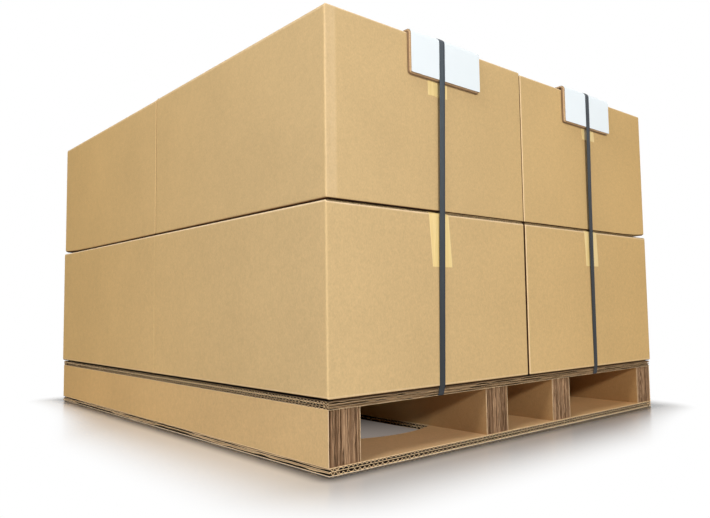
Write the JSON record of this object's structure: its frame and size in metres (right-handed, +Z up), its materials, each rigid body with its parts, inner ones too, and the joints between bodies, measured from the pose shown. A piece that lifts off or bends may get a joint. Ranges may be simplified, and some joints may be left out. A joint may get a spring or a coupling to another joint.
{
  "type": "loaded pallet of boxes",
  "caption": "Corrugated board pallet with open fork lanes, stacked with two layers of taped cartons and held by plastic straps over white edge guards.",
  "frame": {"origin": "at floor level, in the middle of the pallet", "axes": "+Z up, +X to the right along the front of the pallet, +Y to the back along the runners and fork lanes"},
  "size_m": [1.022, 1.2374, 0.735],
  "materials": {
    "deck_board": "plain kraft liner, cut edges open",
    "runner_board": "laminated kraft board, cut ends",
    "carton_board": "plain kraft liner",
    "carton_tape": "satin, slightly see-through",
    "guard_paper": "white paper outside, brown cut edges",
    "strap_plastic": "embossed plastic strapping"
  },
  "bodies": {
    "root": {"bottom_deck": "deck_board", "top_deck": "deck_board", "runner_left_outer": "runner_board", "runner_left_inner": "runner_board", "runner_right_inner": "runner_board", "runner_right_outer": "runner_board", "carton_lower_front_left": "carton_board", "carton_lower_front_right": "carton_board", "carton_lower_back_left": "carton_board", "carton_lower_back_right": "carton_board", "carton_upper_front_left": "carton_board", "carton_upper_front_right": "carton_board", "carton_upper_back_left": "carton_board", "carton_upper_back_right": "carton_board", "tape_lower_front_left": "carton_tape", "tape_lower_front_right": "carton_tape", "tape_lower_back_left": "carton_tape", "tape_lower_back_right": "carton_tape", "tape_upper_front_left": "carton_tape", "tape_upper_front_right": "carton_tape", "tape_upper_back_left": "carton_tape", "tape_upper_back_right": "carton_tape", "edge_guard_front_left": "guard_paper", "edge_guard_front_right": "guard_paper", "edge_guard_back_left": "guard_paper", "edge_guard_back_right": "guard_paper", "strap_left": "strap_plastic", "strap_right": "strap_plastic"}
  },
  "joints": []
}
